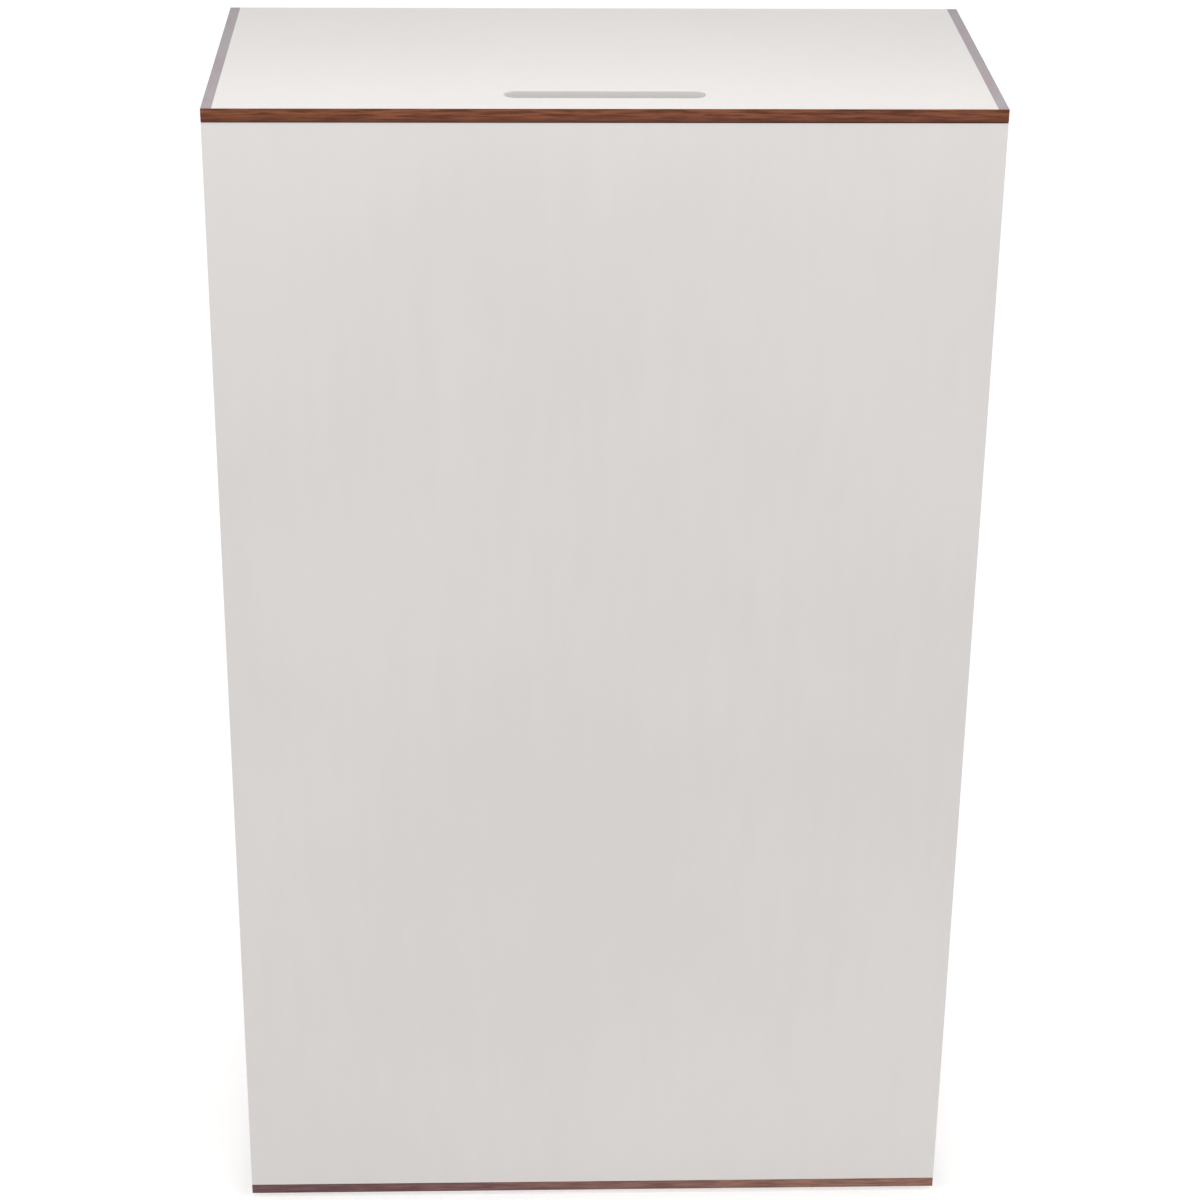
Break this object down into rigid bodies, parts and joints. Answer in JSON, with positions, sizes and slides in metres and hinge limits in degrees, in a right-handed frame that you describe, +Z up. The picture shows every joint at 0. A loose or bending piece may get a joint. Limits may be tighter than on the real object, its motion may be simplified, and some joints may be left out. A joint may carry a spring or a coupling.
{
  "type": "book drop box",
  "caption": "Free-standing library book drop box: tall white plywood case, hinged lid with a finger slot and folding stays, and a sprung platform that sinks as books land on it.",
  "frame": {"origin": "centre of the bounding box in plan, on the floor under the feet", "axes": "+X along the width, the blank front faces -Y with the lid's hinge at the back, +Z up"},
  "size_m": [0.6, 0.2935, 0.9856],
  "materials": {
    "white_ply": "satin white lacquer over plywood faces, bare reddish brown edges",
    "lipping": "satin clear lacquer",
    "softwood": "planed",
    "plain_ply": "sanded",
    "ribbed_rubber": "finely ribbed, matt",
    "edge_veneer": "reddish brown veneer, satin",
    "rubber": "matt",
    "aluminium": "mill finish",
    "nylon": "natural nylon",
    "spring_steel": "oiled spring wire",
    "zinc_steel": "bright zinc plate"
  },
  "bodies": {
    "case": {"back_panel": "white_ply", "base_board": "white_ply", "base_edge_band": "edge_veneer", "batten_back_left": "softwood", "batten_back_right": "softwood", "batten_front_left": "softwood", "batten_front_right": "softwood", "carcass_screws": "zinc_steel", "cleat_back": "softwood", "cleat_front": "softwood", "cleat_left": "softwood", "cleat_right": "softwood", "fitting_screws": "zinc_steel", "foot_back_left": "rubber", "foot_back_right": "rubber", "foot_front_left": "rubber", "foot_front_right": "rubber", "front_panel": "white_ply", "front_rail": "softwood", "guide_cap_left": "nylon", "guide_cap_right": "nylon", "guide_rail_left": "aluminium", "guide_rail_right": "aluminium", "hinge_leaf_body": "zinc_steel", "hinge_pin": "zinc_steel", "hinge_rail": "softwood", "hinge_screws": "zinc_steel", "lid_bumpers": "rubber", "panel_left": "white_ply", "panel_right": "white_ply", "seat_lower_left": "zinc_steel", "seat_lower_right": "zinc_steel", "spring_left": "spring_steel", "spring_right": "spring_steel", "stay_bracket_left": "zinc_steel", "stay_bracket_right": "zinc_steel"},
    "lid": {"hinge_leaf_lid": "zinc_steel", "lid_board": "white_ply", "lid_edge_band": "edge_veneer", "lid_lipping_left": "lipping", "lid_lipping_right": "lipping", "lid_screws": "zinc_steel", "stay_tab_left": "zinc_steel", "stay_tab_right": "zinc_steel"},
    "stay_lower_left": {"stay_elbow_left": "zinc_steel", "stay_lower_left": "zinc_steel"},
    "stay_lower_right": {"stay_elbow_right": "zinc_steel", "stay_lower_right": "zinc_steel"},
    "stay_upper_left": {"stay_upper_left": "zinc_steel"},
    "stay_upper_right": {"stay_upper_right": "zinc_steel"},
    "platform": {"platform_board": "plain_ply", "platform_bracket_left": "zinc_steel", "platform_bracket_right": "zinc_steel", "platform_mat": "ribbed_rubber", "platform_screws": "zinc_steel", "seat_upper_left": "zinc_steel", "seat_upper_right": "zinc_steel", "slide_block_left": "nylon", "slide_block_right": "nylon"}
  },
  "joints": [
    {"name": "lid_hinge", "type": "hinge", "parent": "case", "child": "lid", "pos_m": [0, 0.1444, 0.9758], "axis": [-1, 0, 0], "range_deg": [0, 95]},
    {"name": "stay_low_left", "type": "hinge", "parent": "case", "child": "stay_lower_left", "pos_m": [0, 0.0994, 0.8658], "axis": [-1, 0, 0], "range_deg": [0, 95]},
    {"name": "stay_high_left", "type": "hinge", "parent": "lid", "child": "stay_upper_left", "pos_m": [0, 0.0144, 0.9678], "axis": [-1, 0, 0], "range_deg": [-95, 0]},
    {"name": "stay_low_right", "type": "hinge", "parent": "case", "child": "stay_lower_right", "pos_m": [0, 0.0994, 0.8658], "axis": [-1, 0, 0], "range_deg": [0, 95]},
    {"name": "stay_high_right", "type": "hinge", "parent": "lid", "child": "stay_upper_right", "pos_m": [0, 0.0144, 0.9678], "axis": [-1, 0, 0], "range_deg": [-95, 0]},
    {"name": "platform_drop", "type": "slide", "parent": "case", "child": "platform", "axis": [0, 0, 1], "range_m": [-0.4, 0], "stiffness_N_per_m": 420, "springref_m": 0.065, "deforming": ["spring_left", "spring_right"]}
  ],
  "couplings": [
    {"joint": "stay_low_left", "follows": "lid_hinge", "ratio": 1},
    {"joint": "stay_high_left", "follows": "lid_hinge", "ratio": -1},
    {"joint": "stay_low_right", "follows": "lid_hinge", "ratio": 1},
    {"joint": "stay_high_right", "follows": "lid_hinge", "ratio": -1}
  ]
}
